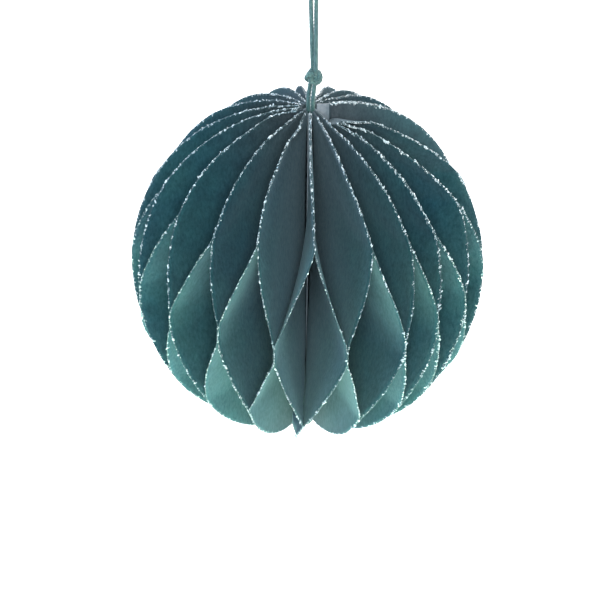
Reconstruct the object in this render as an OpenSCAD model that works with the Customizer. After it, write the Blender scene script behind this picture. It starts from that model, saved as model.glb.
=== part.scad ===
// Paper honeycomb ball on a hanging cord.
// Half-disc paper leaves stand round a hollow spine. Each leaf is glued to one
// neighbour along two bands (A above, C below the middle) and to the other
// neighbour along the middle band (B), so that the ball opens into cells.
// Two stiff end boards meet at the seam and close the ball.
// The origin is the inside top of the hanging loop, +Z up, millimetres.

/* [Ball] */
// Diameter over the leaf rims
ball_d = 100; // [90:1:120]
// Thickness of one paper leaf
paper_t = 0.2; // [0.1:0.05:0.2]
// Half height of the middle glue band, degrees of latitude
mid_band = 3.5; // [3:0.5:5]

/* [Spine and seam] */
// Outer radius of the rolled spine strip
spine_r = 2.1; // [2:0.05:2.2]
// Radius of the bore that the cord runs through
spine_bore_r = 1.6; // [1.5:0.05:1.7]
// Thickness of one end board
board_t = 0.65; // [0.4:0.05:0.65]
// Distance from the axis to the inner edge of the boards
board_in = 6; // [5:0.5:8]
// Thickness of the glue tape that holds the two boards together
seam_tape_t = 0.16; // [0.1:0.02:0.18]

/* [Cord] */
// Cord diameter
cord_d = 1.1; // [0.9:0.05:1.1]
// Height of the loop's top above the ball
loop_rise = 88; // [60:1:120]
// Inner radius of the loop where it hangs on its hook
loop_r = 3.5; // [2.5:0.5:5]
// Height of the knot's middle above the ball
knot_rise = 10.5; // [9:0.5:16]

/* [Hidden] */
// Azimuth of each line where two leaves run together, in degrees from the front
// towards the right and on round the back, starting after the seam: close to the
// upper pole, further out, at the upper glue band, at the lower one and below it.
// A ball that is opened by hand is never even, and the last pairs before the seam
// bunch together at the pole.
cap_az = [137.5, 152.5, 165, 187, 200, 220.5, 238, 258.5, 275,
          287, 321, 344, 361, 380.5, 394.5, 406, 411, 415.5];
polar_az = [139.5, 154, 167.5, 187, 200, 220.5, 239.5, 259, 276.5,
            294.5, 319, 338, 361.5, 382, 398, 412, 425.5, 441];
north_az = [138, 153, 167, 187, 201, 220.5, 239, 262, 281,
            301.5, 322, 341, 362.3, 384.6, 401, 414, 436, 457];
south_az = [138, 153, 166, 185, 201, 219, 236, 258, 278,
            300, 320, 339.3, 359.5, 381.8, 399, 413, 433, 453];
foot_az = [139, 152, 167, 187, 200, 220, 235, 259, 277,
           299, 319, 338.5, 356.8, 381, 398, 412.5, 434, 454];
// Latitude of the upper and lower glue bands on each line.
north_lat = [33, 34, 32, 33, 33, 34, 32, 33, 33, 33, 31.7, 33.7, 32.8, 31.5, 29.5, 29, 31, 33];
south_lat = [33, 32, 33, 34, 33, 33, 32, 33, 33, 32, 31, 28.5, 36.5, 33.8, 33, 33, 33, 33];
// Latitude of the middle band between each two lines, and how far it stands off
// their middle in azimuth; the first and last are the two sides of the seam.
mid_lat = [0, 1, -1, 0, 1, 0, -1, 0, -2, -2, 0, 2.5, -0.9, -1.3, -3, 2, 0.8, 0, 0];
mid_turn = [0, 0, 1, 0, -1, 0, 0, 1, 0, 0, 0, 0, -0.5, 1.2, 1.6, 0, -1.6, 0, 0];
seam_az = 119;
line_count = len(north_az);
leaf_count = 2 * line_count;

R = ball_d / 2;
ball_z = -(loop_rise + R);       // height of the ball's centre
leaf_in = spine_r + 0.1;         // inner edge of the leaves; the seam's two start at the boards
pair_gap = 0.05;                 // air or glue between two leaves that run together
pair_off = (paper_t + pair_gap) / 2;
half_seam = 0.1;                 // half the gap between the two boards
spine_short = 1.2;               // how far the spine ends inside the poles
board_glue = 0.02;
board_off = half_seam + board_t + board_glue + paper_t / 2;
lat_step = 3;                    // one row of points on a leaf every so many degrees
lat_rows = 29;                   // rows above the middle, the last where the rim reaches the spine
lat_end = lat_rows * lat_step;
seam_rows = 26;                  // the seam's two leaves stop where their rim comes near the boards' edge
cap_lat = 78;                    // latitudes of the first, second and last row of azimuths
polar_lat = 70;
foot_lat = 50;

cord_r = cord_d / 2;
strand_clear = 0.04;             // half the air between the two strands above the knot
tube_sides = 8;
arc_step = 15;                   // degrees between the rings of the loop's round top
// where the two strands stand in the spine, seen from above
left_at = [-0.45, 0.6];
right_at = [0.65, -0.6];
pole_z = ball_z + R;
stop_z = ball_z - R - 2.6;       // height of the knot under the ball
overhand_big = 1.45;             // winding radius of the knots, and how far they swing in and out of it
overhand_small = 0.72;
knot_x = 1;                      // the knot hangs a little to the right of the axis

paper_teal = [0.19, 0.36, 0.38];
board_teal = [0.16, 0.32, 0.36];
cord_green = [0.24, 0.53, 0.47];
pale = [0.78, 0.79, 0.8];

function pad2(k) = k < 10 ? str("0", k) : str(k);
function leaf_name(k) = str("leaf_", pad2(k));

// ---- directions round the spine ----
function out_dir(az) = [sin(az), -cos(az), 0];
function side_dir(az) = [cos(az), sin(az), 0];

// ---- leaves ----
// Line number of a leaf, and the side of that line on which it lies: -1 or 1.
function line_of(k) = floor((k - 1) / 2);
function side_of(k) = k % 2 == 1 ? -1 : 1;
function at_seam(k) = k == 1 || k == leaf_count;
// Number of the middle band that this leaf is glued along.
function mid_of(k) = line_of(k) + (side_of(k) > 0 ? 1 : 0);
function line_mean(i) = (north_az[i] + south_az[i]) / 2;
function mid_az(j) =
    j == 0 ? seam_az :
    j == line_count ? seam_az + 360 :
    (line_mean(j - 1) + line_mean(j)) / 2 + mid_turn[j];
function mix(a, b, u) = a + (b - a) * u;
function clamp01(u) = min(1, max(0, u));
// Azimuth of line i at a latitude above or below the middle band.
function line_az(i, lat, above) =
    above ? mix(north_az[i], polar_az[i], clamp01((lat - north_lat[i]) / (polar_lat - north_lat[i])))
          : mix(south_az[i], foot_az[i], clamp01((-lat - south_lat[i]) / (foot_lat - south_lat[i])));
// How far the rim turns on from that azimuth near the upper pole.
function cap_turn(i, lat) =
    (cap_az[i] - polar_az[i])
    * clamp01(min((lat - polar_lat) / (cap_lat - polar_lat), (lat_end - lat) / (lat_end - cap_lat)));
// 0 on the middle band, 1 from the upper and lower glue bands out to the poles.
function spread(i, lat, mid) =
    lat > mid ? clamp01((lat - mid - mid_band) / (north_lat[i] - mid - mid_band))
              : clamp01((mid - mid_band - lat) / (mid - mid_band + south_lat[i]));
function band_off(k) = -side_of(k) * (at_seam(k) ? board_off : pair_off);
// The points across a leaf at one latitude: inner edge, rim, and back on the other face.
function leaf_row(k, lat) =
    let (i = line_of(k),
         mid = mid_lat[mid_of(k)],
         s = spread(i, lat, mid),
         az = mix(mid_az(mid_of(k)), line_az(i, lat, lat > mid), s),
         off = mix(band_off(k), side_of(k) * pair_off, s),
         rim = R * cos(lat),
         rim_az = az + cap_turn(i, lat),
         start = at_seam(k) ? (board_in - leaf_in) / (rim - leaf_in) : 0,
         h = paper_t / 2)
    [for (c = [[start, -h], [1, -h], [1, h], [start, h]])
        mix(plan_point(az, leaf_in, off + c[1]), plan_point(rim_az, rim, off + c[1]), c[0])
        + [0, 0, ball_z + R * sin(lat)]];
function plan_point(az, r, off) = r * out_dir(az) + off * side_dir(az);

module leaf(k) {
    n = at_seam(k) ? seam_rows : lat_rows;
    color(paper_teal) sheet([for (i = [-n : n]) leaf_row(k, i * lat_step)]);
}

// A thin sheet through rows of four points. Both faces are cut along the same
// diagonals, so a twisted sheet keeps its thickness.
module sheet(rows) {
    n = len(rows);
    polyhedron(
        points = [for (row = rows) each row],
        faces = concat(
            [[0, 1, 2, 3]],
            [for (i = [0 : n - 2], j = [0 : 3])
                let (a = i * 4 + j, b = i * 4 + (j + 1) % 4)
                each j < 2 ? [[a, a + 4, b + 4], [a, b + 4, b]]
                           : [[a, a + 4, b], [a + 4, b + 4, b]]],
            [[for (j = [3 : -1 : 0]) (n - 1) * 4 + j]]),
        convexity = 6);
}

// A solid through rings of points that all have the same number of corners.
module swept(rows) {
    m = len(rows[0]);
    n = len(rows);
    polyhedron(
        points = [for (row = rows) each row],
        faces = concat(
            [[for (j = [0 : m - 1]) j]],
            [for (i = [0 : n - 2], j = [0 : m - 1])
                let (a = i * m + j, b = i * m + (j + 1) % m)
                each [[a, a + m, b + m], [a, b + m, b]]],
            [[for (j = [m - 1 : -1 : 0]) (n - 1) * m + j]]),
        convexity = 6);
}

// ---- seam ----
// A flat half-disc beside the seam plane, from radius r0 to the rim.
module half_disc(r0, r1, y0, t) {
    translate([0, 0, ball_z])
        rotate([0, 0, seam_az - 90])
            translate([0, y0 + t, 0])
                rotate([90, 0, 0])
                    linear_extrude(height = t)
                        intersection() {
                            circle(r = r1, $fn = 180);
                            translate([r0, -R * sin(lat_end)])
                                square([R, 2 * R * sin(lat_end)]);
                        }
}

module end_board_a() {
    color(board_teal) half_disc(board_in, R, half_seam, board_t);
}

module end_board_b() {
    color(board_teal) half_disc(board_in, R, -half_seam - board_t, board_t);
}

module seam_tape() {
    tape_in = 14;
    tape_w = 6;
    tape_h = 60;
    color(pale)
        translate([0, 0, ball_z])
            rotate([0, 0, seam_az - 90])
                translate([tape_in, -seam_tape_t / 2, -tape_h / 2])
                    cube([tape_w, seam_tape_t, tape_h]);
}

// The binding strip's free edges, one glued to the inside face of each board. They
// stand out a little at the poles.
module binding_flap(side) {
    flap_t = 0.08;
    flap_gap = 0.01;
    flap_end = board_in + 3.5;
    at_spine = R + 0.5;
    at_end = R - 1.1;
    color(pale)
        translate([0, 0, ball_z])
            rotate([0, 0, seam_az - 90])
                translate([0, side > 0 ? flap_gap + flap_t : -flap_gap, 0])
                    rotate([90, 0, 0])
                        linear_extrude(height = flap_t)
                            polygon([[leaf_in, -at_spine], [flap_end, -at_end],
                                     [flap_end, at_end], [leaf_in, at_spine]]);
}

module binding_flap_a() { binding_flap(1); }

module binding_flap_b() { binding_flap(-1); }

// ---- spine ----
module spine() {
    length = 2 * (R - spine_short);
    color(pale)
        translate([0, 0, ball_z - length / 2])
            difference() {
                cylinder(r = spine_r, h = length, $fn = 64);
                translate([0, 0, -1]) cylinder(r = spine_bore_r, h = length + 2, $fn = 64);
            }
}

// ---- cord ----
knot_z = pole_z + knot_rise;
arc_z = -loop_r;                 // centre height of the loop's round top
strand_steps = 12;
// The doubled cord leans back over the axis from the knot to the loop.
function pair_middle(u) = [knot_x * pow(1 - u, 2), 0];
// Half the distance between the strands, from the knot up to the loop.
function strand_gap(u) = mix(cord_r + strand_clear, loop_r + cord_r, pow(u, 3));
// The strands lie one behind the other at the knot and side by side at the loop.
function strand_turn(u) = 50 * pow(1 - u, 3);
function strand_point(side, u) =
    let (m = pair_middle(u), t = strand_turn(u), g = strand_gap(u))
    [m[0] + side * g * cos(t), m[1] - side * g * sin(t), mix(knot_z + 2, arc_z - 4, u)];
function strand(side) = [for (i = [0 : strand_steps]) strand_point(side, i / strand_steps)];
function up_spine(at, side) = [
    [side * 0.3, 0, stop_z - 1.2],
    [side * 0.6, 0, stop_z + 1],
    [at[0], at[1], ball_z - R + 1],
    [at[0], at[1], ball_z - 16],
    [at[0], at[1], ball_z + 16],
    [at[0], at[1], pole_z + 0.5],
    [mix(at[0], knot_x, 0.4), at[1], pole_z + 3.5],
    [knot_x + side * 0.55, at[1] * 0.8, knot_z - 3],
    [knot_x + side * 0.45, at[1] * 0.75, knot_z - 0.5]];
right_end = up_spine(right_at, 1);
cord_path = concat(
    up_spine(left_at, -1),
    strand(-1),
    [for (a = [180 : -arc_step : 0]) [(loop_r + cord_r) * cos(a), 0, arc_z + (loop_r + cord_r) * sin(a)]],
    [for (i = [strand_steps : -1 : 0]) strand_point(1, i / strand_steps)],
    [for (i = [len(right_end) - 1 : -1 : 0]) right_end[i]]);

// Unit direction of a path at point i.
function heading(path, i) =
    let (a = path[max(0, i - 1)], b = path[min(len(path) - 1, i + 1)]) (b - a) / norm(b - a);
function ring(p, dir, r, ref) =
    let (u0 = cross(dir, ref), u = u0 / norm(u0), v = cross(u, dir))
    [for (j = [0 : tube_sides - 1])
        p + r * (cos(360 * j / tube_sides) * u + sin(360 * j / tube_sides) * v)];

module cord() {
    color(cord_green)
        swept([for (i = [0 : len(cord_path) - 1])
            ring(cord_path[i], heading(cord_path, i), cord_r, [0, 1, 0])]);
}

// An overhand knot: a cord wound three times round as a closed trefoil.
trefoil_steps = 42;
function trefoil(a, big, small) =
    [(big + small * cos(3 * a)) * cos(2 * a), small * sin(3 * a), (big + small * cos(3 * a)) * sin(2 * a)];
module overhand(at_x, at_z) {
    points = [for (i = [0 : trefoil_steps - 1])
        trefoil(360 * i / trefoil_steps, overhand_big, overhand_small)];
    rings = [for (i = [0 : trefoil_steps - 1])
        let (a = points[(i + trefoil_steps - 1) % trefoil_steps],
             b = points[(i + 1) % trefoil_steps],
             p = points[i],
             radial = [p[0], 0, p[2]])
        ring(p, (b - a) / norm(b - a), cord_r, radial / norm(radial))];
    n = trefoil_steps;
    m = tube_sides;
    translate([at_x, 0, at_z])
        polyhedron(
            points = [for (row = rings) each row],
            faces = [for (i = [0 : n - 1], j = [0 : m - 1])
                let (a = i * m + j, b = i * m + (j + 1) % m,
                     c = ((i + 1) % n) * m + j, d = ((i + 1) % n) * m + (j + 1) % m)
                each [[a, c, d], [a, d, b]]],
            convexity = 8);
}

module loop_knot() { color(cord_green) overhand(knot_x, knot_z); }

module stop_knot() { color(cord_green) overhand(0, stop_z); }

// ---- output ----
for (k = [1 : leaf_count]) leaf(k);
end_board_a();
end_board_b();
seam_tape();
binding_flap_a();
binding_flap_b();
spine();
cord();
loop_knot();
stop_knot();
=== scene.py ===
"""Paper honeycomb ball on a cord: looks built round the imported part. Lengths are in millimetres until
they reach a mesh; the row frame's origin is the inside top of the hanging loop."""

import math

import bpy
import numpy as np
from mathutils import Matrix, Vector


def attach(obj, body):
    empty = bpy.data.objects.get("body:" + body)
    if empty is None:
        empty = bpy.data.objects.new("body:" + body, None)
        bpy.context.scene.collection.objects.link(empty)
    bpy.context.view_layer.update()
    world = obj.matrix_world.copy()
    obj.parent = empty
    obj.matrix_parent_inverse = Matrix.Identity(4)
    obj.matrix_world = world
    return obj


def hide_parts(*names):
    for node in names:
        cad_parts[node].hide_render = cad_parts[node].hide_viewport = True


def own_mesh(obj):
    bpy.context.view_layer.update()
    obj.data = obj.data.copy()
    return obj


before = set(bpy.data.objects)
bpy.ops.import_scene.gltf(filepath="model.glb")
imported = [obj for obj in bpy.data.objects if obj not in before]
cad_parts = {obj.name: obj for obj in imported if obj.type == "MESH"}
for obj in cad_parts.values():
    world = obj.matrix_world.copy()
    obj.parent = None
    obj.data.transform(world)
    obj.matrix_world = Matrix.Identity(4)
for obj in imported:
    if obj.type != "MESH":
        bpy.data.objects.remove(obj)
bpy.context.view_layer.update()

MM = 0.001
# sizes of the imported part
RADIUS = 50.0
LOOP_RISE = 88.0
BALL = np.array([0.0, 0.0, -(LOOP_RISE + RADIUS)])
POLE_Z = BALL[2] + RADIUS
LEAF_IN = 2.2
PAPER = 0.2
PAIR_OFF = 0.125
BOARD_OFF = 0.87
BOARD_T = 0.65
HALF_SEAM = 0.1
BOARD_IN = 6.0
MID_BAND = 3.5
LAT_END = 87.0
SEAM_LAT_END = 78.0
FOOT_LAT, POLAR_LAT, CAP_LAT = 50.0, 70.0, 78.0
SEAM_AZ = 119.0
# Azimuth in degrees, from the front towards the right, of each line where two leaves run together: close
# to the upper pole, further out, at the upper glue band, at the lower glue band and near the lower pole.
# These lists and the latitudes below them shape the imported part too.
CAP_AZ = [137.5, 152.5, 165, 187, 200, 220.5, 238, 258.5, 275,
          287, 321, 344, 361, 380.5, 394.5, 406, 411, 415.5]
POLAR_AZ = [139.5, 154, 167.5, 187, 200, 220.5, 239.5, 259, 276.5,
            294.5, 319, 338, 361.5, 382, 398, 412, 425.5, 441]
NORTH_AZ = [138, 153, 167, 187, 201, 220.5, 239, 262, 281,
            301.5, 322, 341, 362.3, 384.6, 401, 414, 436, 457]
SOUTH_AZ = [138, 153, 166, 185, 201, 219, 236, 258, 278,
            300, 320, 339.3, 359.5, 381.8, 399, 413, 433, 453]
FOOT_AZ = [139, 152, 167, 187, 200, 220, 235, 259, 277,
           299, 319, 338.5, 356.8, 381, 398, 412.5, 434, 454]
NORTH_LAT = [33, 34, 32, 33, 33, 34, 32, 33, 33, 33, 31.7, 33.7, 32.8, 31.5, 29.5, 29, 31, 33]
SOUTH_LAT = [33, 32, 33, 34, 33, 33, 32, 33, 33, 32, 31, 28.5, 36.5, 33.8, 33, 33, 33, 33]
# the middle band between each two lines, and how far it stands off their middle in azimuth
MID_LAT = [0, 1, -1, 0, 1, 0, -1, 0, -2, -2, 0, 2.5, -0.9, -1.3, -3, 2, 0.8, 0, 0]
MID_TURN = [0, 0, 1, 0, -1, 0, 0, 1, 0, 0, 0, 0, -0.5, 1.2, 1.6, 0, -1.6, 0, 0]
LINES = len(NORTH_AZ)
LEAVES = 2 * LINES
# the leaf that belongs to the spine's body, and one full turn in radians
FIXED_LEAF = 20
FULL_TURN = 2 * np.pi


# ---------------------------------------------------------------- helpers
def out_dir(az):
    """Direction away from the axis at an azimuth in degrees, 0 at the front."""
    a = np.radians(az)
    return np.stack([np.sin(a), -np.cos(a), np.zeros_like(a)], -1)


def side_dir(az):
    """Direction square to out_dir, towards larger azimuths."""
    a = np.radians(az)
    return np.stack([np.cos(a), np.sin(a), np.zeros_like(a)], -1)


def make_mesh(name, points, faces, material, smooth=True):
    """points in mm in the row frame; faces as an array or a list of lists."""
    mesh = bpy.data.meshes.new(name)
    mesh.from_pydata((np.asarray(points) * MM).tolist(), [], [list(map(int, f)) for f in faces])
    mesh.polygons.foreach_set("use_smooth", [smooth] * len(mesh.polygons))
    mesh.materials.append(material)
    mesh.update()
    obj = bpy.data.objects.new(name, mesh)
    bpy.context.scene.collection.objects.link(obj)
    return obj


def wavy(seed, reach):
    """A smooth random field of two variables made of a few sines, about -1 to 1."""
    r = np.random.default_rng(seed)
    terms = [(r.uniform(0.6, reach), r.uniform(0.5, 2.2), r.uniform(0, 6.28), r.uniform(0.4, 1.0))
             for _ in range(5)]
    total = sum(t[3] for t in terms)

    def field(u, v):
        return sum(a * np.sin(6.28 * (f * u + g * v) + p) for f, g, p, a in terms) / total
    return field


# ---------------------------------------------------------------- materials
def new_material(name):
    m = bpy.data.materials.new(name)
    m.use_nodes = True
    nodes = m.node_tree.nodes
    return m, nodes, m.node_tree.links, nodes["Principled BSDF"]


def coords(nodes, links, scale):
    tc = nodes.new("ShaderNodeTexCoord")
    mp = nodes.new("ShaderNodeMapping")
    mp.inputs["Scale"].default_value = scale
    links.new(tc.outputs["Object"], mp.inputs["Vector"])
    return mp.outputs["Vector"]


def noise(nodes, links, vector, scale, detail=4, rough=0.55):
    n = nodes.new("ShaderNodeTexNoise")
    n.inputs["Scale"].default_value = scale
    n.inputs["Detail"].default_value = detail
    n.inputs["Roughness"].default_value = rough
    links.new(vector, n.inputs["Vector"])
    return n.outputs["Fac"]


def ramp(nodes, links, fac, stops):
    r = nodes.new("ShaderNodeValToRGB")
    while len(r.color_ramp.elements) < len(stops):
        r.color_ramp.elements.new(0.5)
    for e, (pos, colour) in zip(r.color_ramp.elements, stops):
        e.position = pos
        e.color = (*colour, 1)
    links.new(fac, r.inputs["Fac"])
    return r.outputs["Color"]


def mix_colour(nodes, links, a, b, fac, mode="MIX"):
    m = nodes.new("ShaderNodeMix")
    m.data_type = "RGBA"
    m.blend_type = mode
    for socket, value in ((m.inputs["Factor"], fac), (m.inputs["A"], a), (m.inputs["B"], b)):
        if isinstance(value, bpy.types.NodeSocket):
            links.new(value, socket)
        else:
            socket.default_value = value
    return m.outputs["Result"]


def bump(nodes, links, height, strength, distance, normal=None):
    b = nodes.new("ShaderNodeBump")
    b.inputs["Strength"].default_value = strength
    b.inputs["Distance"].default_value = distance
    links.new(height, b.inputs["Height"])
    if normal is not None:
        links.new(normal, b.inputs["Normal"])
    return b.outputs["Normal"]


def from_axis(nodes, links, near, far):
    """0 within `near` of the ball's axis, 1 beyond `far`, in metres."""
    length = nodes.new("ShaderNodeVectorMath")
    length.operation = "LENGTH"
    links.new(coords(nodes, links, (1, 1, 0)), length.inputs[0])
    spread_out = nodes.new("ShaderNodeMapRange")
    spread_out.interpolation_type = "SMOOTHSTEP"
    spread_out.inputs["From Min"].default_value = near
    spread_out.inputs["From Max"].default_value = far
    links.new(length.outputs["Value"], spread_out.inputs["Value"])
    return spread_out.outputs["Result"]


def paper_material(name, dark, light, see_through):
    """Dyed uncoated paper: broad dye variation, fibres, fine grain, soft sheen and some light through.
    Towards the spine the colour turns grey: a painted grey sheen standing in for the grazing reflection
    deep in the cells."""
    m, nodes, links, bsdf = new_material(name)
    v = coords(nodes, links, (1, 1, 1))
    colour = ramp(nodes, links, noise(nodes, links, v, 38, 3), [(0.32, dark), (0.68, light)])
    # painted grey sheen towards the spine, for the grazing reflection that lifts the dark dye deep in the
    # cells
    grey = (0.044, 0.048, 0.054, 1)
    colour = mix_colour(nodes, links, grey, colour, from_axis(nodes, links, 0.002, 0.033))
    fibre = noise(nodes, links, coords(nodes, links, (1, 1, 0.5)), 1300, 5, 0.75)
    speck = ramp(nodes, links, fibre,
                 [(0.3, (0.62, 0.66, 0.68)), (0.5, (1, 1, 1)), (0.72, (1.45, 1.36, 1.32))])
    colour = mix_colour(nodes, links, colour, speck, 0.9, "MULTIPLY")
    mottle = ramp(nodes, links, noise(nodes, links, v, 300, 3, 0.6),
                  [(0.35, (0.82, 0.84, 0.86)), (0.65, (1.16, 1.14, 1.12))])
    colour = mix_colour(nodes, links, colour, mottle, 1.0, "MULTIPLY")
    links.new(colour, bsdf.inputs["Base Color"])
    bsdf.inputs["Roughness"].default_value = 0.85
    bsdf.inputs["Specular IOR Level"].default_value = 0.1
    bsdf.inputs["Sheen Weight"].default_value = 0.26
    bsdf.inputs["Sheen Roughness"].default_value = 0.6
    bsdf.inputs["Sheen Tint"].default_value = (0.7, 0.88, 1.0, 1)
    grain = noise(nodes, links, v, 2600, 3, 0.6)
    normal = bump(nodes, links, fibre, 0.2, 0.0001, bump(nodes, links, grain, 0.25, 0.00006))
    links.new(normal, bsdf.inputs["Normal"])
    through = nodes.new("ShaderNodeBsdfTranslucent")
    thin = mix_colour(nodes, links, speck, (0.3, 0.40, 0.36, 1), 1.0, "MULTIPLY")
    links.new(thin, through.inputs["Color"])
    both = nodes.new("ShaderNodeMixShader")
    both.inputs["Fac"].default_value = see_through
    links.new(bsdf.outputs["BSDF"], both.inputs[1])
    links.new(through.outputs["BSDF"], both.inputs[2])
    links.new(both.outputs["Shader"], nodes["Material Output"].inputs["Surface"])
    return m


def glitter_material():
    """Flakes of silver glitter: pale ones, and darker grey ones as painted shade for flakes turned away
    from the light.
    """
    m, nodes, links, bsdf = new_material("glitter_flakes")
    v = coords(nodes, links, (1, 1, 1))
    # the darker grey stops of this ramp are painted shade for flakes turned away from the light
    tint = ramp(nodes, links, noise(nodes, links, v, 700, 2),
                [(0.36, (0.2, 0.26, 0.29)), (0.45, (0.55, 0.58, 0.6)), (0.54, (0.85, 0.85, 0.86))])
    links.new(tint, bsdf.inputs["Base Color"])
    bsdf.inputs["Metallic"].default_value = 0.1
    bsdf.inputs["Roughness"].default_value = 0.32
    bsdf.inputs["Specular IOR Level"].default_value = 0.8
    return m


def bead_material():
    """Dark glue with the finest glitter in it."""
    m, nodes, links, bsdf = new_material("glitter_glue")
    v = coords(nodes, links, (1, 1, 1))
    fine = noise(nodes, links, v, 1900, 3, 0.75)
    tint = ramp(nodes, links, fine,
                [(0.38, (0.015, 0.04, 0.045)), (0.58, (0.06, 0.1, 0.11)), (0.72, (0.4, 0.45, 0.47))])
    links.new(tint, bsdf.inputs["Base Color"])
    bsdf.inputs["Roughness"].default_value = 0.45
    links.new(bump(nodes, links, fine, 0.6, 0.0002), bsdf.inputs["Normal"])
    return m


def cord_material():
    """Green cord: fine strands along it under a broad change of tone."""
    m, nodes, links, bsdf = new_material("cord_fibre")
    v = coords(nodes, links, (1, 1, 0.25))
    strands = noise(nodes, links, v, 2400, 4, 0.7)
    broad = noise(nodes, links, coords(nodes, links, (1, 1, 1)), 160, 2)
    dye = ramp(nodes, links, strands,
               [(0.3, (0.02, 0.045, 0.043)), (0.5, (0.05, 0.11, 0.103)), (0.72, (0.13, 0.22, 0.2))])
    tone = ramp(nodes, links, broad, [(0.35, (0.8, 0.85, 0.9)), (0.65, (1.1, 1.05, 1.0))])
    links.new(mix_colour(nodes, links, dye, tone, 1.0, "MULTIPLY"), bsdf.inputs["Base Color"])
    bsdf.inputs["Roughness"].default_value = 0.5
    bsdf.inputs["Sheen Weight"].default_value = 0.3
    links.new(bump(nodes, links, strands, 0.5, 0.0002), bsdf.inputs["Normal"])
    return m


def pale_material(name, dark, light):
    """Undyed paper or film with a faint mottle."""
    m, nodes, links, bsdf = new_material(name)
    v = coords(nodes, links, (1, 1, 1))
    tint = ramp(nodes, links, noise(nodes, links, v, 500, 5, 0.7), [(0.35, dark), (0.65, light)])
    links.new(tint, bsdf.inputs["Base Color"])
    bsdf.inputs["Roughness"].default_value = 0.75
    links.new(bump(nodes, links, noise(nodes, links, v, 2200, 3), 0.3, 0.0001), bsdf.inputs["Normal"])
    return m


leaf_paper = paper_material("leaf_paper", (0.012, 0.056, 0.078), (0.022, 0.080, 0.088), 0.3)
board_paper = paper_material("board_paper", (0.018, 0.050, 0.060), (0.026, 0.065, 0.075), 0.0)
flakes_mat = glitter_material()
bead_mat = bead_material()
cord_mat = cord_material()
pale_mat = pale_material("binding_paper", (0.22, 0.23, 0.26), (0.36, 0.36, 0.38))
tape_mat = pale_material("tape_film", (0.45, 0.45, 0.42), (0.62, 0.62, 0.58))


# ---------------------------------------------------------------- leaves
ROWS, COLS = 203, 25
# points along a rim, for its glitter
RIM_POINTS, BOARD_RIM_POINTS = 520, 480
# how far the paper waves sideways, in mm: a glued pair, a glued middle band, and a leaf on its own
PAIR_WAVE, BAND_WAVE, FREE_WAVE = 0.45, 0.35, 1.6
# the pair on this line bows sideways by BOW mm under its lower glue band: the bow starts BOW_START
# degrees below the middle and is full BOW_RUN degrees further down
BOWED_LINE = 12
BOW, BOW_START, BOW_RUN = 2.4, 37, 9
# leaves on these lines are folded down beside the spine, so the binding strip shows behind them: their
# top edge slopes up from LOW_DROP mm under the pole
LOW_LINES = (15, 16, 17)
LOW_TOP_LAT = 78.0
LOW_DROP, LOW_SLOPE = 4.9, 0.46
# glitter is heavier on this line, and on these it stops short of the upper pole, at a distance in mm
HEAVY_LINE = 15
LINE_HEAVY, BOARD_HEAVY = 1.5, 1.3
BARE_NEAR_POLE = {13: 5.5, 14: 6.5}
BARE_ELSEWHERE = 3.0
RIM_WOBBLE = 0.12


def line_of(k):
    return (k - 1) // 2


def side_of(k):
    return -1 if k % 2 else 1


def at_seam(k):
    return k in (1, LEAVES)


def mid_of(k):
    """Number of the middle band that this leaf is glued along."""
    return line_of(k) + (side_of(k) > 0)


def line_mean(i):
    return (NORTH_AZ[i] + SOUTH_AZ[i]) / 2


def mid_az(j):
    if j == 0:
        return SEAM_AZ
    return SEAM_AZ + 360 if j == LINES else (line_mean(j - 1) + line_mean(j)) / 2 + MID_TURN[j]


def mean_az(k):
    return (line_mean(line_of(k)) + mid_az(mid_of(k))) / 2


def mix(a, b, u):
    return a + (b - a) * u


def spread(i, lat, mid):
    """0 on the middle band, 1 from the upper and lower glue bands out to the poles."""
    up = np.clip((lat - mid - MID_BAND) / (NORTH_LAT[i] - mid - MID_BAND), 0, 1)
    down = np.clip((mid - MID_BAND - lat) / (mid - MID_BAND + SOUTH_LAT[i]), 0, 1)
    return np.where(lat > mid, up, down)


def soft_spread(i, lat, mid, rim_share):
    """The same, but paper rounds the bend off, more so away from the glued rim."""
    reach = mix(4.5, 1.5, rim_share ** 2)
    return sum(spread(i, lat + reach * t, mid) for t in (-1, -0.6, -0.2, 0.2, 0.6, 1)) / 6


def leaf_azimuths(k, lat, s):
    """Azimuth of leaf k at each latitude, and the further turn of its rim close to the upper pole."""
    i = line_of(k)
    to_pole = np.clip((lat - NORTH_LAT[i]) / (POLAR_LAT - NORTH_LAT[i]), 0, 1)
    to_foot = np.clip((-lat - SOUTH_LAT[i]) / (FOOT_LAT - SOUTH_LAT[i]), 0, 1)
    north = mix(NORTH_AZ[i], POLAR_AZ[i], to_pole)
    south = mix(SOUTH_AZ[i], FOOT_AZ[i], to_foot)
    az = mix(mid_az(mid_of(k)), np.where(lat > MID_LAT[mid_of(k)], north, south), s)
    rise = (lat - POLAR_LAT) / (CAP_LAT - POLAR_LAT)
    fall = (LAT_END - lat) / (LAT_END - CAP_LAT)
    return az, (CAP_AZ[i] - POLAR_AZ[i]) * np.clip(np.minimum(rise, fall), 0, 1)


def leaf_wave(k, lat, share, rim, s):
    """How far the paper waves sideways: the two leaves of a pair move together where they are glued,
    and each moves alone in between."""
    i = line_of(k)
    height = lat / 90
    with_pair = wavy(100 + i, 3.0)(height, share)
    with_band = 0 if at_seam(k) else wavy(200 + mid_of(k), 2.0)(height, share)
    alone = wavy(300 + k, 3.5)(height, share)
    room = np.clip((rim - 6) / 12, 0, 1)
    together = share * (PAIR_WAVE * s * with_pair + BAND_WAVE * (1 - s) * with_band) * room
    wave = together + share ** 2 * FREE_WAVE * s * (1 - s) * alone
    if i == BOWED_LINE:
        below = np.clip((-lat - BOW_START) / BOW_RUN, 0, 1)
        wave = wave - BOW * below * np.sin(np.pi * np.clip(share, 0, 0.92)) ** 0.8
    return wave


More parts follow.
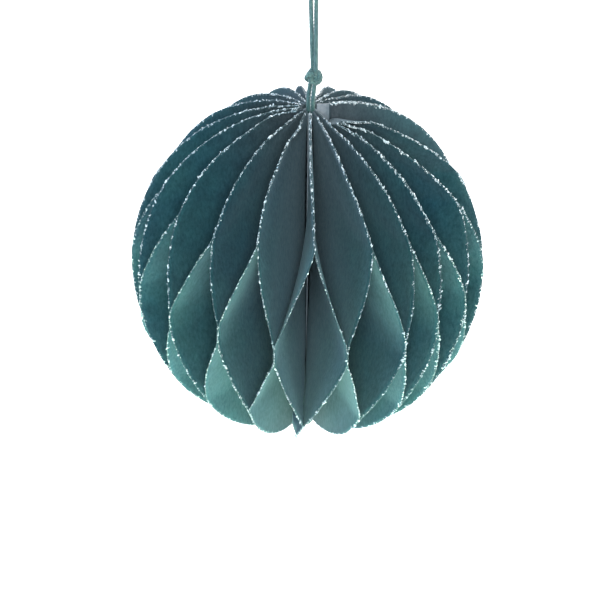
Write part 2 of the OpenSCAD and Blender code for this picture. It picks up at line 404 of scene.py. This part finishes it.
def leaf_middle(k, lat, rim_share, rim_extra):
    """Points on the middle surface of leaf k and the sideways direction there. lat is an array of
    latitudes and rim_share an array of the same shape, 0 at the inner edge and 1 at the rim."""
    s = soft_spread(line_of(k), lat, MID_LAT[mid_of(k)], rim_share)
    az, turn = leaf_azimuths(k, lat, s)
    band_off = -side_of(k) * (BOARD_OFF if at_seam(k) else PAIR_OFF)
    off = mix(band_off, side_of(k) * PAIR_OFF, s)[..., None]
    rim = RADIUS * np.cos(np.radians(lat))
    start = (BOARD_IN - LEAF_IN) / (rim - LEAF_IN) if at_seam(k) else 0
    share = mix(start, 1, rim_share)
    side = side_dir(az)
    inner = LEAF_IN * out_dir(az) + off * side
    outer = (rim + rim_extra)[..., None] * out_dir(az + turn) + off * side_dir(az + turn)
    p = mix(inner, outer, share[..., None]) + leaf_wave(k, lat, share, rim, s)[..., None] * side
    height = RADIUS * np.sin(np.radians(lat))
    if line_of(k) in LOW_LINES:
        out = mix(LEAF_IN, rim, share) - LEAF_IN
        height = np.minimum(height, RADIUS - LOW_DROP + LOW_SLOPE * out)
    p[..., 2] += height
    return p + BALL, side


def rim_wobble(k, lat):
    return RIM_WOBBLE * wavy(400 + k, 9.0)(lat / 90, 0 * lat)


def sheet_mesh(name, front, back, material):
    """A closed thin sheet from two grids of points of the same shape."""
    rows, cols = front.shape[:2]
    points = np.concatenate([front.reshape(-1, 3), back.reshape(-1, 3)])
    at = np.arange(rows * cols).reshape(rows, cols)
    corners = [at[:-1, :-1], at[1:, :-1], at[1:, 1:], at[:-1, 1:]]
    front_faces = np.stack([c.ravel() for c in corners], 1)
    n = rows * cols
    border = np.concatenate([at[0, :-1], at[:-1, -1], at[-1, :0:-1], at[:0:-1, 0]])
    following = np.roll(border, -1)
    edge_faces = np.stack([border, following, following + n, border + n], 1)
    faces = np.concatenate([front_faces, front_faces[:, ::-1] + n, edge_faces])
    obj = make_mesh(name, points, faces, material)
    broad = 2 * len(front_faces)
    obj.data.polygons.foreach_set("use_smooth", [True] * broad + [False] * len(edge_faces))
    return obj


def body_of_leaf(k):
    return "spine" if k == FIXED_LEAF else f"leaf_{k:02d}"


def settle(obj, body, normal):
    """Ride with the body; when a normal is given, take a mesh of its own."""
    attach(obj, body)
    if normal is not None:
        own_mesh(obj)


# ---------------------------------------------------------------- glitter
GOLD = (1 + 5 ** 0.5) / 2
# a crumb is an icosahedron with its corners pushed in and out
CRUMB_POINTS = np.array([(-1, GOLD, 0), (1, GOLD, 0), (-1, -GOLD, 0), (1, -GOLD, 0),
                         (0, -1, GOLD), (0, 1, GOLD), (0, -1, -GOLD), (0, 1, -GOLD),
                         (GOLD, 0, -1), (GOLD, 0, 1), (-GOLD, 0, -1), (-GOLD, 0, 1)]) / math.hypot(1, GOLD)
CRUMB_FACES = np.array([(0, 11, 5), (0, 5, 1), (0, 1, 7), (0, 7, 10), (0, 10, 11),
                        (1, 5, 9), (5, 11, 4), (11, 10, 2), (10, 7, 6), (7, 1, 8),
                        (3, 9, 4), (3, 4, 2), (3, 2, 6), (3, 6, 8), (3, 8, 9),
                        (4, 9, 5), (2, 4, 11), (6, 2, 10), (8, 6, 7), (9, 8, 1)])
# grades of glitter, in mm: the spacing of places along the rim, a crumb's size, how readily a place is
# filled, how much the crumb is stretched along the rim, and how far it lies off the rim's line
FINE = {"spacing": 0.4, "size": 0.34, "density": 0.15, "stretch": 1.3, "reach": 0.07}
COARSE = {"spacing": 0.6, "size": 0.5, "density": 0.12, "stretch": 1.7, "reach": 0.06}
BEAD_SIZE = 0.19


def crumbs(rim, axes, grade, heavy, seed):
    """Broken glitter scattered along a rim line: points and faces. axes are the directions along the
    rim, outward and sideways at each of its points."""
    r = np.random.default_rng(seed)
    step = np.linalg.norm(np.diff(rim, axis=0), axis=1)
    dist = np.concatenate([[0], np.cumsum(step)])
    count = int(dist[-1] / (grade["spacing"] / heavy))
    place = np.sort(r.uniform(0, dist[-1], count))
    field = wavy(seed + 1, 14.0)(place / dist[-1] * 3, 0.3 + 0 * place)
    place = place[field + r.uniform(-0.8, 0.8, count) < grade["density"]]
    n = len(place)
    centre, along, outward, sideways = (np.stack([np.interp(place, dist, v[:, i]) for i in range(3)], 1)
                                        for v in (rim, *axes))
    grow = grade["size"] * np.clip(r.lognormal(0, 0.25, n), 0.5, 1.6)[:, None]
    length = grow * grade["stretch"] * r.uniform(0.7, 1.3, n)[:, None]
    high = grow * r.uniform(0.6, 1.0, n)[:, None]
    wide = grow * r.uniform(0.4, 0.7, n)[:, None]
    reach = grade["reach"] * heavy
    centre = centre + outward * r.normal(-0.08, 1.7 * reach, n)[:, None]
    centre = centre + sideways * r.normal(0, reach, n)[:, None]
    # each crumb lies on the rim, turned about the outward direction and then tipped a little
    turn = r.normal(0.3, 0.35, n)[:, None]
    tip = r.normal(0.6, 0.4, n)[:, None]
    level = np.cos(turn) * along + np.sin(turn) * sideways
    long_way = level * np.cos(tip) + outward * np.sin(tip)
    wide_way = np.cos(turn) * sideways - np.sin(turn) * along
    high_way = np.cross(long_way, wide_way)
    shape = CRUMB_POINTS[None] * r.uniform(0.55, 1.25, (n, 12, 1)) / 2
    points = (centre[:, None] + shape[..., :1] * (length * long_way)[:, None]
              + shape[..., 1:2] * (high * high_way)[:, None]
              + shape[..., 2:] * (wide * wide_way)[:, None])
    faces = (CRUMB_FACES[None] + 12 * np.arange(n)[:, None, None]).reshape(-1, 3)
    return points.reshape(-1, 3), faces


def bead(rim, outward, sideways, size, seed):
    """A thin uneven bead of glue along a rim line, as a four-sided tube."""
    r = np.random.default_rng(seed)
    n = len(rim)
    high = size * (0.75 + 0.35 * r.random(n))
    wide = size * (0.75 + 0.35 * r.random(n))
    ring = [rim + outward * (a * high)[:, None] + sideways * (b * wide)[:, None]
            for a, b in ((0.6, 0), (0, 0.5), (-0.6, 0), (0, -0.5))]
    points = np.stack(ring, 1).reshape(-1, 3)
    i = np.arange(n - 1)[:, None] * 4 + np.arange(4)[None]
    j = np.arange(n - 1)[:, None] * 4 + (np.arange(4)[None] + 1) % 4
    return points, np.stack([i, i + 4, j + 4, j], -1).reshape(-1, 4)


def glitter_rim(name, rim, side, body, normal, heavy, seed, bare=0.0):
    """Glue and two grades of glitter along a rim line. heavy is 1 for the usual line, and the rim is
    bare near the upper pole where it is closer to the axis than `bare`."""
    kept = (np.hypot(rim[:, 0], rim[:, 1]) > bare) | (rim[:, 2] < BALL[2])
    rim, side = rim[kept], side[kept]
    along = np.gradient(rim, axis=0)
    along /= np.linalg.norm(along, axis=1, keepdims=True)
    outward = np.cross(side, along)
    outward /= np.linalg.norm(outward, axis=1, keepdims=True)
    axes = (along, outward, side)
    fine = crumbs(rim, axes, FINE, heavy, seed)
    coarse = crumbs(rim, axes, COARSE, heavy, seed + 3)
    points = np.concatenate([fine[0], coarse[0]])
    faces = np.concatenate([fine[1], coarse[1] + len(fine[0])])
    glitter = make_mesh(name + "_glitter", points, faces, flakes_mat, smooth=False)
    settle(glitter, body, normal)
    points, faces = bead(rim, outward, side, BEAD_SIZE * heavy, seed + 5)
    glue = make_mesh(name + "_glue", points, faces, bead_mat)
    settle(glue, body, normal)


def build_leaf(k):
    """One sheet of paper with its glittered rim."""
    name = f"leaf_{k:02d}"
    line = line_of(k)
    end = SEAM_LAT_END if at_seam(k) else LAT_END
    top = LOW_TOP_LAT if line in LOW_LINES else end
    lat = np.repeat(np.linspace(-end, top, ROWS)[:, None], COLS, 1)
    share = np.repeat(np.linspace(0, 1, COLS)[None] ** 0.9, ROWS, 0)
    middle, side = leaf_middle(k, lat, share, rim_wobble(k, lat))
    half = side * PAPER / 2
    obj = sheet_mesh(name + "_paper", middle + half, middle - half, leaf_paper)
    normal = side_dir(np.array(float(mean_az(k))))
    settle(obj, body_of_leaf(k), normal)
    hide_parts(name)
    fine = np.linspace(-end, top, RIM_POINTS)
    rim, side = leaf_middle(k, fine, 1 + 0 * fine, rim_wobble(k, fine))
    heavy = LINE_HEAVY if line == HEAVY_LINE else 1.0
    bare = BARE_NEAR_POLE.get(line, BARE_ELSEWHERE)
    glitter_rim(name, rim, side, body_of_leaf(k), normal, heavy, 1000 + 10 * k, bare)


for k in range(1, LEAVES + 1):
    build_leaf(k)


# ---------------------------------------------------------------- end boards at the seam
BOARD_LAT_END = 83.0
# narrowest strip of a board, at its tips, and where its two lines of glitter run across its edge
BOARD_TIP = 0.02
BOARD_LINES = (0.25, 0.6)


def board_points(lat, out):
    """Points in the plane of the seam at latitudes lat and distances out from the axis."""
    p = BALL + out[..., None] * out_dir(np.array(SEAM_AZ))
    p[..., 2] += RADIUS * np.sin(np.radians(lat))
    return p


def build_board(name, body, sign):
    """An end board: sign is the side of the seam on which it lies."""
    seam_side = side_dir(np.array(SEAM_AZ))
    lat = np.repeat(np.linspace(-BOARD_LAT_END, BOARD_LAT_END, ROWS)[:, None], COLS, 1)
    reach = np.maximum(RADIUS * np.cos(np.radians(lat)) - BOARD_IN, BOARD_TIP)
    base = board_points(lat, BOARD_IN + reach * np.linspace(0, 1, COLS)[None])
    near = base + seam_side * sign * HALF_SEAM
    far = base + seam_side * sign * (HALF_SEAM + BOARD_T)
    front, back = (far, near) if sign > 0 else (near, far)
    obj = sheet_mesh(name + "_card", front, back, board_paper)
    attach(obj, body)
    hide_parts(name)
    fine = np.linspace(-BOARD_LAT_END, BOARD_LAT_END, BOARD_RIM_POINTS)
    edge = board_points(fine, RADIUS * np.cos(np.radians(fine)))
    side = np.repeat(seam_side[None], len(fine), 0)
    for n, across in enumerate(BOARD_LINES):
        seed = 3000 + 50 * n + (7 if sign > 0 else 0)
        rim = edge + side * sign * across
        glitter_rim(f"{name}_{n}", rim, side, body, None, BOARD_HEAVY, seed)


build_board("end_board_a", "board_a", 1)
build_board("end_board_b", "board_b", -1)

# these nodes keep the part's own shape and only get a material
for node, material in (("spine", pale_mat), ("binding_flap_a", pale_mat), ("binding_flap_b", pale_mat),
                       ("seam_tape", tape_mat)):
    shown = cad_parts[node]
    shown.data.materials.clear()
    shown.data.materials.append(material)


# ---------------------------------------------------------------- cord
CORD_R = 0.66
LOOP_R = 3.5
KNOT_X = 1.0
KNOT_Z = POLE_Z + 9.8
STOP_Z = BALL[2] - RADIUS - 2.6
ARC_Z = -LOOP_R
ARC_STEP = 15
# where the two strands stand in the spine, seen from above, and half the air between them at the knot
LEFT_AT = (-0.45, 0.6)
RIGHT_AT = (0.75, -0.6)
STRAND_CLEAR = 0.04
STRAND_STEPS = 12
CORD_STEP = 0.3
# length of one turn of the plies, in the cord and in the knots
CORD_TWIST, KNOT_TWIST = 3.2, 3.0
# a pulled knot has thinner strands; each is wound at a radius, and swings in and out of it
KNOT_R = 0.6
OUTER_WIND, INNER_WIND = (1.45, 0.74), (1.2, 0.66)


def strand_point(side, u):
    """A strand from the knot, u = 0, up to the loop, u = 1: partly behind the other, then beside it."""
    gap = CORD_R + STRAND_CLEAR + (LOOP_R - STRAND_CLEAR) * u ** 3
    turn = math.radians(50 * (1 - u) ** 3)
    low, high = KNOT_Z + 2, ARC_Z - 4
    return (KNOT_X * (1 - u) ** 2 + side * gap * math.cos(turn), -side * gap * math.sin(turn),
            low + (high - low) * u)


def up_spine(at, side):
    """A strand from the stop knot up through the spine and into the loop knot."""
    x, y = at
    foot_z = BALL[2] - RADIUS
    return [(side * 0.3, 0, STOP_Z - 1.2), (side * 0.6, 0, STOP_Z + 1),
            (x, y, foot_z + 1), (x, y, BALL[2] - 16), (x, y, BALL[2] + 16),
            (0.13 + side * 0.64, y, POLE_Z + 0.5), (0.2 + side * 0.64, y, POLE_Z + 3.5),
            (KNOT_X - 0.5 + side * 0.6, y * 0.8, KNOT_Z - 3),
            (KNOT_X + side * 0.45, y * 0.75, KNOT_Z - 0.5)]


def loop_arc():
    """The round top of the loop, from its left end to its right one."""
    reach = LOOP_R + CORD_R
    turns = [math.radians(a) for a in range(180, -1, -ARC_STEP)]
    return [(reach * math.cos(t), 0, ARC_Z + reach * math.sin(t)) for t in turns]


def smooth_path(points, step):
    """A Catmull-Rom line through the points, with even steps."""
    p = np.array(points, float)
    p = np.concatenate([[2 * p[0] - p[1]], p, [2 * p[-1] - p[-2]]])
    out = []
    for i in range(1, len(p) - 2):
        n = max(2, int(np.linalg.norm(p[i + 1] - p[i]) / step * 4))
        u = np.linspace(0, 1, n, endpoint=False)[:, None]
        out.append(0.5 * (2 * p[i] + (p[i + 1] - p[i - 1]) * u
                          + (2 * p[i - 1] - 5 * p[i] + 4 * p[i + 1] - p[i + 2]) * u ** 2
                          + (-p[i - 1] + 3 * p[i] - 3 * p[i + 1] + p[i + 2]) * u ** 3))
    line = np.concatenate(out + [p[-2:-1]])
    dist = np.concatenate([[0], np.cumsum(np.linalg.norm(np.diff(line, axis=0), axis=1))])
    want = np.linspace(0, dist[-1], int(dist[-1] / step) + 1)
    return np.stack([np.interp(want, dist, line[:, i]) for i in range(3)], 1)


def rope_skin(path, radius, twist, plies=3, sides=18, closed=False):
    """Points and faces of a rope of twisted plies along a path: twist is the length of one turn."""
    n = len(path)
    if closed:
        tangent = np.roll(path, -1, 0) - np.roll(path, 1, 0)
    else:
        tangent = np.gradient(path, axis=0)
    tangent /= np.linalg.norm(tangent, axis=1, keepdims=True)
    u = np.zeros_like(path)
    u[0] = np.cross(tangent[0], (0.3, 0.9, 0.1))
    u[0] /= np.linalg.norm(u[0])
    for i in range(1, n):
        u[i] = u[i - 1] - tangent[i] * np.dot(u[i - 1], tangent[i])
        u[i] /= np.linalg.norm(u[i])
    v = np.cross(tangent, u)
    dist = np.concatenate([[0], np.cumsum(np.linalg.norm(np.diff(path, axis=0), axis=1))])
    turn = dist / twist * FULL_TURN
    if closed:
        lag = np.arctan2(np.dot(u[0], v[-1]), np.dot(u[0], u[-1]))
        turn = turn + lag * np.arange(n) / n
        whole = round(turn[-1] / FULL_TURN * plies) / plies * FULL_TURN
        turn = turn * (whole / turn[-1])
    a = np.linspace(0, FULL_TURN, sides, endpoint=False)
    swell = 0.86 + 0.16 * np.abs(np.cos(plies / 2 * (a[None] - turn[:, None])))
    ring = (path[:, None] + radius * swell[..., None]
            * (np.cos(a)[None, :, None] * u[:, None] + np.sin(a)[None, :, None] * v[:, None]))
    rows = n if closed else n - 1
    i = np.arange(rows)[:, None] * sides + np.arange(sides)[None]
    j = np.arange(rows)[:, None] * sides + (np.arange(sides)[None] + 1) % sides
    k = (i + sides) % (n * sides)
    m = (j + sides) % (n * sides)
    faces = np.stack([i, j, m, k], -1).reshape(-1, 4).tolist()
    if not closed:
        faces += [list(range(sides))[::-1], list(range((n - 1) * sides, n * sides))]
    return ring.reshape(-1, 3), faces


def rope_mesh(name, skins):
    """One mesh from the skins of one or more ropes."""
    points, faces = [], []
    for skin_points, skin_faces in skins:
        start = sum(len(p) for p in points)
        points.append(skin_points)
        faces += [[start + corner for corner in face] for face in skin_faces]
    return make_mesh(name, np.concatenate(points), faces, cord_mat)


steps = [i / STRAND_STEPS for i in range(STRAND_STEPS + 1)]
route = (up_spine(LEFT_AT, -1) + [strand_point(-1, u) for u in steps] + loop_arc()
         + [strand_point(1, u) for u in reversed(steps)] + up_spine(RIGHT_AT, 1)[::-1])
cord_line = smooth_path(route, CORD_STEP)
cord = rope_mesh("hanging_cord_rope", [rope_skin(cord_line, CORD_R, CORD_TWIST)])
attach(cord, "hanging_cord")
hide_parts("cord")


def trefoil(big, small, at, spin):
    """A closed trefoil turned by spin degrees in its own plane, for one pass of an overhand knot."""
    a = np.linspace(0, FULL_TURN, 260, endpoint=False)
    reach = big + small * np.cos(3 * a)
    wound = 2 * a + math.radians(spin)
    return np.stack([reach * np.cos(wound), small * np.sin(3 * a), reach * np.sin(wound)], 1) + at


def knot_mesh(name, x, z):
    """An overhand knot in the doubled cord, pulled tight: one strand lies in the gaps of the other."""
    outer = trefoil(*OUTER_WIND, (x - 0.1, 0, z - 0.2), 200)
    inner = trefoil(*INNER_WIND, (x, -0.3, z), 30)
    return rope_mesh(name, [rope_skin(path, KNOT_R, KNOT_TWIST, closed=True) for path in (outer, inner)])


loop_knot = knot_mesh("loop_knot_rope", KNOT_X, KNOT_Z)
stop_knot = knot_mesh("stop_knot_rope", 0, STOP_Z)
for knot, node in ((loop_knot, "loop_knot"), (stop_knot, "stop_knot")):
    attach(knot, "hanging_cord")
    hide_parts(node)


# ---------------------------------------------------------------- stage, lights, camera
def stage_material(name, colour, rough=0.9):
    m, nodes, links, bsdf = new_material(name)
    bsdf.inputs["Base Color"].default_value = (*colour, 1)
    bsdf.inputs["Roughness"].default_value = rough
    return m


centre = Vector(BALL.tolist()) * MM
FLOOR_SIZE, FLOOR_DROP = 8, 0.33
WORLD_COLOUR, WORLD_STRENGTH = (0.95, 0.98, 1.0, 1), 0.3
# name, place in metres from the ball's centre, diameter, power and colour of each soft lamp
LAMPS = [("front", (0, -1.0, 0.6), 0.5, 12.5, (0.7, 0.93, 1.0)),
         ("front_high", (0, -0.75, 1.0), 0.5, 2.3, (0.75, 0.98, 1.0)),
         ("left_low", (-0.75, -0.55, -0.28), 0.5, 4.6, (0.4, 0.72, 1.0)),
         ("right_low", (0.75, -0.55, -0.28), 0.5, 4.6, (0.82, 1.0, 0.85)),
         ("below", (0, -0.12, -0.3), 0.22, 3.6, (0.6, 1.0, 0.72)),
         ("right_side", (1.0, -0.1, -0.1), 0.5, 4.0, (1.0, 0.95, 0.95)),
         ("back", (0.15, 0.9, 0.5), 0.5, 15.0, (1.0, 1.0, 1.0)),
         ("left_back", (-0.9, 0.35, 0.5), 0.5, 9.0, (0.5, 0.72, 1.0)),
         ("right_back", (0.9, 0.35, 0.5), 0.5, 3.0, (1.0, 1.0, 1.0))]
FLOOR_LAMP = ("backdrop", (0, 0.58, -0.06), 0.9, 5.0, (1.0, 0.95, 0.93))
ELEVATION, ROLL = math.radians(31.0), math.radians(0.9)
DISTANCE = 1.0
# half the height of the view at the ball, and how far the ball's centre lies right of and above its middle
HALF_VIEW, BALL_RIGHT, BALL_UP = 0.08543, 0.00194, 0.01094
SENSOR = 36


def build_stage():
    """A plain pale floor well under the hanging ball, and a faint even sky."""
    bpy.ops.mesh.primitive_plane_add(size=FLOOR_SIZE, location=(0, 0, centre.z - FLOOR_DROP))
    floor = bpy.context.object
    floor.name = "floor"
    floor.data.materials.append(stage_material("floor_white", (0.93, 0.93, 0.93)))
    world = bpy.data.worlds.new("world")
    bpy.context.scene.world = world
    world.use_nodes = True
    background = world.node_tree.nodes["Background"]
    background.inputs["Color"].default_value = WORLD_COLOUR
    background.inputs["Strength"].default_value = WORLD_STRENGTH


def soft_lamp(name, place, size, power, colour):
    """A soft round lamp that shines straight down."""
    data = bpy.data.lights.new(name, "AREA")
    data.shape = "DISK"
    data.size = size
    data.energy = power
    data.color = colour
    obj = bpy.data.objects.new(name, data)
    bpy.context.scene.collection.objects.link(obj)
    obj.location = centre + Vector(place)
    obj.rotation_mode = "QUATERNION"
    obj.visible_camera = False
    return obj


def build_lamps():
    """Lamps round the ball, aimed at it, and one that lights the floor behind it."""
    for name, place, size, power, colour in LAMPS:
        lamp = soft_lamp(name, place, size, power, colour)
        lamp.rotation_quaternion = (-Vector(place)).to_track_quat("-Z", "Y")
    soft_lamp(*FLOOR_LAMP)


def build_camera():
    """The camera looks down at the ball, which hangs a little off the middle of the view."""
    data = bpy.data.cameras.new("camera")
    camera = bpy.data.objects.new("camera", data)
    bpy.context.scene.collection.objects.link(camera)
    bpy.context.scene.camera = camera
    data.sensor_width = SENSOR
    data.lens = SENSOR / 2 * DISTANCE / HALF_VIEW
    back = Vector((0, -math.cos(ELEVATION), math.sin(ELEVATION)))
    look = (-back).to_track_quat("-Z", "Y")
    right = look @ Vector((1, 0, 0))
    up = look @ Vector((0, 1, 0))
    camera.location = centre + back * DISTANCE
    aim = centre - right * BALL_RIGHT - up * BALL_UP - camera.location
    roll = Matrix.Rotation(ROLL, 4, "Z").to_quaternion()
    camera.rotation_mode = "QUATERNION"
    camera.rotation_quaternion = aim.to_track_quat("-Z", "Y") @ roll
    data.clip_start, data.clip_end = 0.01, 50


build_stage()
build_lamps()
build_camera()
bpy.context.scene.view_settings.view_transform = "Standard"
